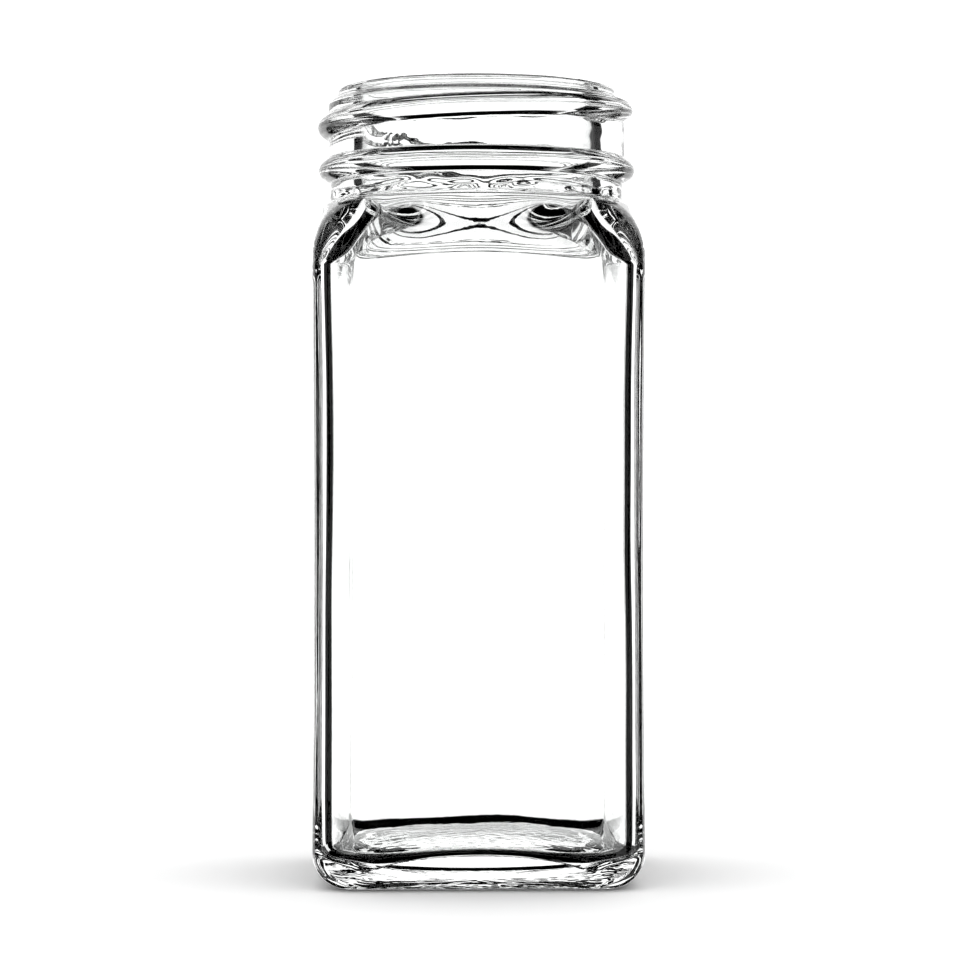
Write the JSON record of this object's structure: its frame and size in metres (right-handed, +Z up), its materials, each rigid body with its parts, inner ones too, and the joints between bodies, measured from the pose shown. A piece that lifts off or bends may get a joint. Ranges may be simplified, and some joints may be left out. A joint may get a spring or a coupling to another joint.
{
  "type": "specimen jar",
  "caption": "Empty clear glass jar with a square body, rounded upright edges, a domed shoulder and a round screw-thread neck, open at the top.",
  "frame": {"origin": "centre of the base, on the surface that the jar stands on", "axes": "+Z up along the jar's axis, through the middle of the mouth; X and Y square to the flats of the body"},
  "size_m": [0.0426, 0.0426, 0.104],
  "materials": {
    "clear_glass": "clear, polished, with the faint waviness of moulded glass"
  },
  "bodies": {
    "root": {"glass_jar": "clear_glass"}
  },
  "joints": []
}
